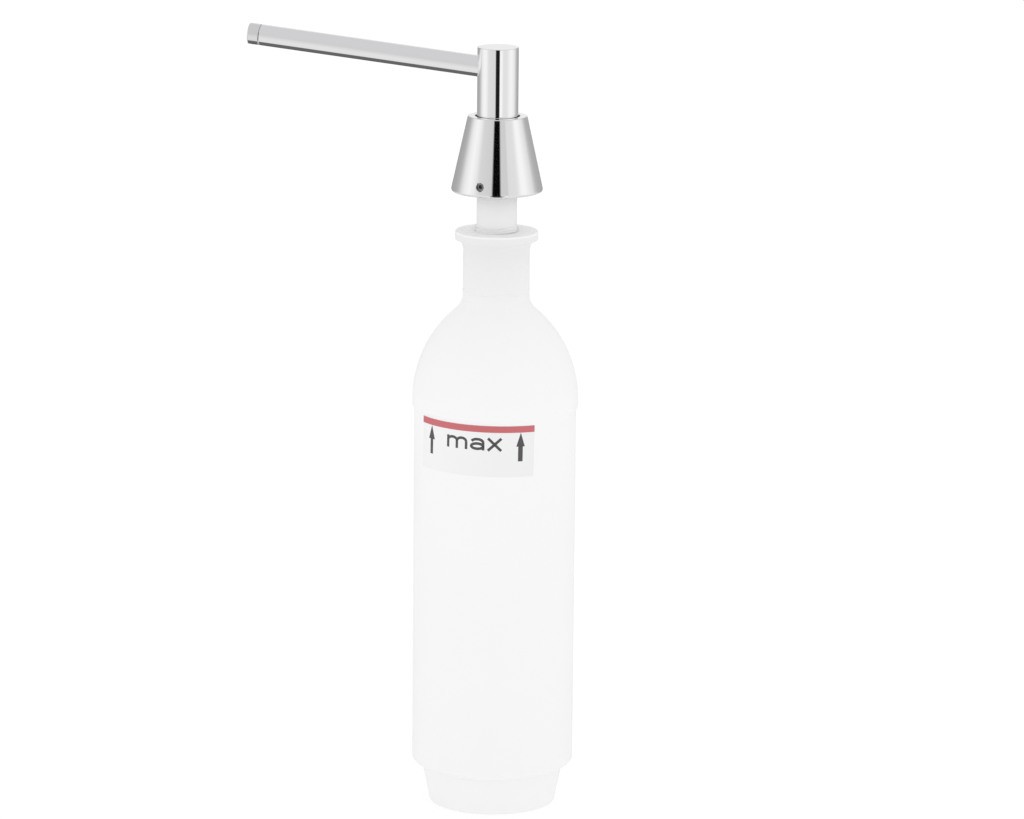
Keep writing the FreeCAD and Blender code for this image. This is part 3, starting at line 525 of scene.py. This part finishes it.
# ---------------------------------------------------------------- shank
# The white threaded tube that passes through the worktop; its wide head hides in the
# shroud. The thread runs out a few millimetres above the bottle's mouth.
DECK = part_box("shroud")[0][2] / MM
TAIL = MOUTH - 20.0
THREAD_TOP, ROOT_R = MOUTH + 3.2, 10.45
SCREW_LEVEL = DECK + 5.15
SHANK_BORE, SHANK_TIP_R, CUP_R, CUP_LOW = 8.0, 9.6, 13.0, DECK + 3.0
SHANK_HEAD_R, SHANK_HEAD_LOW, SHANK_HEAD_TOP = 18.0, DECK + 1.0, DECK + 8.0
NOTCH_R, NOTCH_HALF = 16.9, 2.05
shank = add_piece("shank_tube", turned("shank_tube", rounded([
    (SHANK_BORE, TAIL, 0.2), (SHANK_TIP_R, TAIL, 0.3), (ROOT_R, TAIL + 0.9, 0.3),
    (ROOT_R, THREAD_TOP - 0.6, 0.2), (SHANK_R, THREAD_TOP, 0.3), (SHANK_R, SHANK_HEAD_LOW, 0.2),
    (SHANK_HEAD_R, SHANK_HEAD_LOW, 0.3), (SHANK_HEAD_R, SCREW_LEVEL - NOTCH_HALF, 0.1),
    (NOTCH_R, SCREW_LEVEL - NOTCH_HALF, 0.1), (NOTCH_R, SCREW_LEVEL + NOTCH_HALF, 0.1),
    (SHANK_HEAD_R, SCREW_LEVEL + NOTCH_HALF, 0.1), (SHANK_HEAD_R, SHANK_HEAD_TOP, 0.3),
    (CUP_R, SHANK_HEAD_TOP, 0.3), (CUP_R, CUP_LOW, 0.2), (SHANK_BORE, CUP_LOW, 0.2)])),
    "deck_unit", stem_white)
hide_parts("shank")


def grow(name, tree, values, body, material):
    """Runs a geometry tree with the given inputs and keeps its result as a plain piece."""
    holder = bpy.data.objects.new(name + "_seed", bpy.data.meshes.new(name + "_seed"))
    bpy.context.collection.objects.link(holder)
    modifier = holder.modifiers.new("grow", "NODES")
    modifier.node_group = tree
    for item in tree.interface.items_tree:
        if item.item_type == "SOCKET" and item.in_out == "INPUT" and item.name in values:
            modifier[item.identifier] = values[item.name]
    solved = holder.evaluated_get(bpy.context.evaluated_depsgraph_get())
    mesh = bpy.data.meshes.new_from_object(solved)
    mesh.name = name
    bpy.data.objects.remove(holder)
    mesh.materials.clear()
    return add_piece(name, mesh, body, material)


def helix_tree(name, rib=None, starts=1):
    """Bars wound round z. Rib: the top and the height of the bar's section as parts of its
    base, or None for a round wire. Starts: how many bars run side by side."""
    tree = bpy.data.node_groups.new(name, "GeometryNodeTree")
    for label, kind in (("Radius", "Float"), ("Low", "Float"), ("Height", "Float"), ("Turns", "Float"),
                        ("Section", "Float"), ("Finish", "Material")):
        tree.interface.new_socket(label, in_out="INPUT", socket_type="NodeSocket" + kind)
    tree.interface.new_socket("Geometry", in_out="OUTPUT", socket_type="NodeSocketGeometry")
    g = Graph(tree)
    entry, leave = g.add("NodeGroupInput").outputs, g.add("NodeGroupOutput")
    spiral = g.add("GeometryNodeCurveSpiral", {"Resolution": 64, "Rotations": entry["Turns"],
                                               "Start Radius": entry["Radius"], "End Radius": entry["Radius"],
                                               "Height": entry["Height"], "Reverse": True})
    lift = g.add("ShaderNodeCombineXYZ", {2: entry["Low"]})
    raised = g.add("GeometryNodeTransform", {"Geometry": spiral.outputs[0], "Translation": lift.outputs[0]})
    upright = g.add("GeometryNodeSetCurveNormal", {"Curve": raised.outputs[0]}, mode="Z_UP")
    if rib:
        top = g.math("MULTIPLY", entry["Section"], rib[0])
        height = g.math("MULTIPLY", entry["Section"], rib[1])
        section = g.add("GeometryNodeCurvePrimitiveQuadrilateral",
                        {"Bottom Width": entry["Section"], "Top Width": top, "Height": height,
                         "Offset": 0.0}, mode="TRAPEZOID")
    else:
        section = g.add("GeometryNodeCurvePrimitiveCircle", {"Resolution": 12, "Radius": entry["Section"]})
    bar = g.add("GeometryNodeCurveToMesh", {"Curve": upright.outputs[0], "Profile Curve": section.outputs[0],
                                            "Fill Caps": True})
    join = g.add("GeometryNodeJoinGeometry")
    for k in range(starts):
        placed = g.add("GeometryNodeTransform", {"Geometry": bar.outputs[0],
                                                 "Rotation": (0, 0, 2 * math.pi * k / starts)})
        tree.links.new(placed.outputs[0], join.inputs[0])
    real = g.add("GeometryNodeRealizeInstances", {0: join.outputs[0]})
    done = g.add("GeometryNodeSetMaterial", {"Geometry": real.outputs[0], "Material": entry["Finish"]})
    tree.links.new(done.outputs[0], leave.inputs["Geometry"])
    return tree


LEAD, RIB, RIB_TOP, RIB_HEIGHT = 2.0, 0.65, 0.3, 0.6
THREAD_LOW, THREAD_LENGTH = TAIL + 1.6, THREAD_TOP - TAIL - 2.5
thread = grow("shank_thread", helix_tree("thread_rib", (RIB_TOP, RIB_HEIGHT), starts=2),
              {"Radius": (THREAD_R - RIB * RIB_HEIGHT / 2) * MM, "Low": THREAD_LOW * MM,
               "Height": THREAD_LENGTH * MM, "Turns": THREAD_LENGTH / LEAD, "Section": RIB * MM,
               "Finish": stem_white}, "deck_unit", stem_white)

# ---------------------------------------------------------------- washers and seals
# Black rubber: the washer between shank and worktop, the ring round the barrel under the
# shank's tail, the barrel's gasket and the two small rings of the piston and the swivel.


def paint(names, material):
    """Gives CAD nodes a material in place of their plain one."""
    for name in names:
        nodes[name].data.materials.clear()
        nodes[name].data.materials.append(material)


rubber = finish("black_rubber", ((0.025, 0.025, 0.026), (0.04, 0.04, 0.04)), (0.55, 0.75), cloud=300.0,
                relief=0.00005)
paint(("deck_washer", "neck_seal", "barrel_gasket", "piston_ring", "swivel_seal"), rubber)

# ---------------------------------------------------------------- shroud
# A plain chromed brass cone that hides the shank's head. A set screw in a hole near its
# lower edge bites in the shank head's groove; a dark bush in its top guides the pump head.


def chrome_finish(name, tones, roughness):
    """Plated metal, with a faint waviness under the plating."""
    return finish(name, tones, roughness, cloud=14.0, grain=160.0, relief=0.0000015, Metallic=1.0)


chrome = chrome_finish("polished_chrome", ((0.90, 0.90, 0.905), (0.88, 0.88, 0.89)), (0.035, 0.06))
CONE_LOW, CONE_TOP, CONE_BORE = 23.0, 14.7, 18.0
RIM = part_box("shroud")[1][2] / MM
HEAD_R, OPENING_R = 10.2, 11.15
FLANK = math.atan2(CONE_LOW - CONE_TOP, RIM - DECK)
BUSH_R, BUSH_LOW, BUSH_TOP = HEAD_R + 3.0, RIM - 9.2, RIM - 2.2
SCREW_TURN = math.radians(-101.4)
SEAT_TOP, BAND_LOW, BAND_HIGH = DECK + 9.0, DECK + 2.4, DECK + 8.0
HOLE_R, HOLE_IN, HOLE_OUT = 2.0, 15, 26
SINK_R, SINK_DEPTH, SINK_PROUD = 1.93, 0.4, 0.6


def cone_at(level):
    """The cone's radius at a level."""
    return CONE_LOW - (level - DECK) * math.tan(FLANK)


def bored(mesh, cutter):
    """The mesh with the cutter's shape taken out of it."""
    solid, tool = bpy.data.objects.new("solid", mesh), bpy.data.objects.new("tool", cutter)
    for made in (solid, tool):
        bpy.context.collection.objects.link(made)
    modifier = solid.modifiers.new("bore", "BOOLEAN")
    modifier.operation, modifier.solver, modifier.object = "DIFFERENCE", "EXACT", tool
    result = bpy.data.meshes.new_from_object(solid.evaluated_get(bpy.context.evaluated_depsgraph_get()))
    for made in (solid, tool):
        bpy.data.objects.remove(made)
    return result


cone = turned("shroud_cone", rounded([
    (CONE_BORE, DECK, 0.3), (CONE_LOW, DECK, 1.3), (cone_at(BAND_LOW), BAND_LOW),
    (cone_at(BAND_HIGH), BAND_HIGH), (CONE_TOP, RIM, 0.6), (OPENING_R, RIM, 0.25),
    (OPENING_R, BUSH_TOP, 0.1), (BUSH_R, BUSH_TOP, 0.1), (BUSH_R, BUSH_LOW, 0.1),
    (BUSH_R + 0.8, BUSH_LOW, 0.3), (CONE_BORE, SEAT_TOP, 0.3)], 8), 256)
aim = Matrix.Rotation(SCREW_TURN, 4, "Z")
hole = turned("hole", [(0, HOLE_IN), (HOLE_R, HOLE_IN), (HOLE_R, HOLE_OUT), (0, HOLE_OUT)], 96)
hole.transform(Matrix.Translation((0, 0, SCREW_LEVEL * MM)) @ aim @ Matrix.Rotation(math.pi / 2, 4, "Y"))
sink = turned("sink", [(0, -SINK_DEPTH), (SINK_R, -SINK_DEPTH),
                       (SINK_R + SINK_DEPTH + SINK_PROUD, SINK_PROUD), (0, SINK_PROUD)], 96)
sink.transform(aim @ Matrix.Translation((cone_at(SCREW_LEVEL) * MM, 0, SCREW_LEVEL * MM))
               @ Matrix.Rotation(math.pi / 2 - FLANK, 4, "Y"))
cone = bored(bored(cone, hole), sink)
cone.name = "shroud_cone"
SHARP, ON_CONE = math.radians(25), 0.01
edges = bmesh.new()
edges.from_mesh(cone)
for edge in edges.edges:
    edge.smooth = edge.calc_face_angle(0.0) < SHARP
edges.to_mesh(cone)
edges.free()
shroud = add_piece("shroud_cone", cone, "deck_unit", chrome)
# The holes' cuts would bend the shading of the flank, so its corners get the cone's own normal.
exact = [Vector(corner.vector) for corner in cone.corner_normals]
flank_rise = Vector((0, 0, math.sin(FLANK)))
for polygon in cone.polygons:
    spots = [cone.vertices[i].co for i in polygon.vertices]
    if all(abs(math.hypot(c.x, c.y) / MM - cone_at(c.z / MM)) < ON_CONE for c in spots):
        for loop in polygon.loop_indices:
            c = cone.vertices[cone.loops[loop].vertex_index].co
            exact[loop] = Vector((c.x, c.y, 0)).normalized() * math.cos(FLANK) + flank_rise
cone.normals_split_custom_set(exact)
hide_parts("shroud")

steel = finish("plain_steel", ((0.55, 0.55, 0.56), (0.45, 0.45, 0.46)), (0.25, 0.4), cloud=500.0,
               Metallic=1.0)
paint(("head_clip", "inlet_ball", "outlet_ball"), steel)

black_steel = finish("blackened_steel", ((0.30, 0.30, 0.31), (0.24, 0.24, 0.24)), (0.3, 0.4), cloud=500.0,
                     Metallic=1.0)
paint(("shroud_screw",), black_steel)

dark_plastic = finish("dark_acetal", ((0.03, 0.03, 0.033), (0.045, 0.045, 0.048)), (0.35, 0.5), cloud=300.0)
paint(("guide_bush", "nozzle_insert"), dark_plastic)

# ---------------------------------------------------------------- pump works
# White moulded parts inside: barrel, gland nut, foot valve, dip tube, strainer, and the
# rod with its piston, valve seat and collar. The barrel hangs from the shank's head.
works_white = finish("works_white", ((0.85, 0.85, 0.84), (0.80, 0.80, 0.79)), (0.3, 0.45), cloud=200.0)
paint(("pump_barrel", "gland_nut", "inlet_valve", "dip_tube", "strainer", "piston_rod", "piston",
       "outlet_seat", "rod_collar"), works_white)

# ---------------------------------------------------------------- return spring
# Stainless wire wound round the rod, from the gland nut up to the collar under the head;
# in the pump it flattens as the head goes down, but this coil is built once, at its length at rest.
COIL_R, WIRE_R, COILS = 5.5, 0.5, 8.0
spring_low, spring_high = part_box("return_spring")
coil_low, coil_high = spring_low[2] / MM + WIRE_R, spring_high[2] / MM - WIRE_R
spring = grow("spring_coil", helix_tree("spring_wire"),
              {"Radius": COIL_R * MM, "Low": coil_low * MM, "Height": (coil_high - coil_low) * MM,
               "Turns": COILS, "Section": WIRE_R * MM, "Finish": steel}, "deck_unit", steel)
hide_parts("return_spring")
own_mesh(spring)

# ---------------------------------------------------------------- pump head
# A plain chromed brass cylinder with a flat top. It snaps on the rod, turns on it and
# slides in the shroud's bush.
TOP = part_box("pump_head")[1][2] / MM
HEAD_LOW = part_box("pump_head")[0][2] / MM
HEAD_BORE, CEILING = 7.2, HEAD_LOW + 16.8
ROD_R, ROD_TOP = 4.0, CEILING + 11.7
DUCT_R, DUCT_TOP = 3.0, CEILING + 19.7
head = add_piece("head_cylinder", turned("head_cylinder", rounded([
    (HEAD_BORE, HEAD_LOW, 0.3), (HEAD_R, HEAD_LOW, 0.4), (HEAD_R, TOP, 0.35), (0, TOP),
    (0, DUCT_TOP), (DUCT_R, DUCT_TOP, 0.2), (DUCT_R, ROD_TOP, 0.2), (ROD_R, ROD_TOP, 0.2),
    (ROD_R, CEILING, 0.2), (HEAD_BORE, CEILING, 0.3)], 8), 256), "head", chrome)
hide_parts("pump_head")

# ---------------------------------------------------------------- spout
# A long straight chromed tube brazed in the head, and a short closed end ring pressed
# on it, duller than the tube, with a fine groove between them and the outlet underneath.
SPOUT_R, SPOUT_BORE, REACH, RING, GROOVE = 5.25, 4.2, 127.1, 5.65, 0.35
SPOUT_LEVEL, SPOUT_START = TOP - 10.9, 6.5
SPIGOT_R, SPIGOT_BORE, SPIGOT, RING_FACE = 4.2, 3.2, 5.0, 1.2
lay_down = Matrix.Translation((0, 0, SPOUT_LEVEL * MM)) @ Matrix.Rotation(SPOUT_SLOPE - math.pi / 2, 4, "Y")


def laid(name, outline, body, material):
    """A turned piece with its axis laid along the spout."""
    mesh = turned(name, outline, 160)
    mesh.transform(lay_down)
    return add_piece(name, mesh, body, material)


tube_end = REACH - RING - GROOVE
spout = laid("spout_barrel", rounded([
    (SPOUT_BORE, SPOUT_START, 0.1), (SPOUT_R, SPOUT_START, 0.1), (SPOUT_R, tube_end, 0.18),
    (SPOUT_BORE, tube_end, 0.1)]), "head", chrome)
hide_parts("spout_tube")
ring_start = tube_end + GROOVE
satin = chrome_finish("satin_chrome", ((0.84, 0.84, 0.845), (0.80, 0.80, 0.81)), (0.10, 0.16))
tip = laid("spout_ring", rounded([
    (SPIGOT_BORE, ring_start - SPIGOT, 0.2), (SPIGOT_R, ring_start - SPIGOT, 0.2),
    (SPIGOT_R, ring_start), (SPOUT_R, ring_start, 0.18), (SPOUT_R, REACH, 0.5), (0, REACH),
    (0, REACH - RING_FACE), (SPIGOT_BORE, REACH - RING_FACE, 0.2)]), "head", satin)
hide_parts("spout_tip")
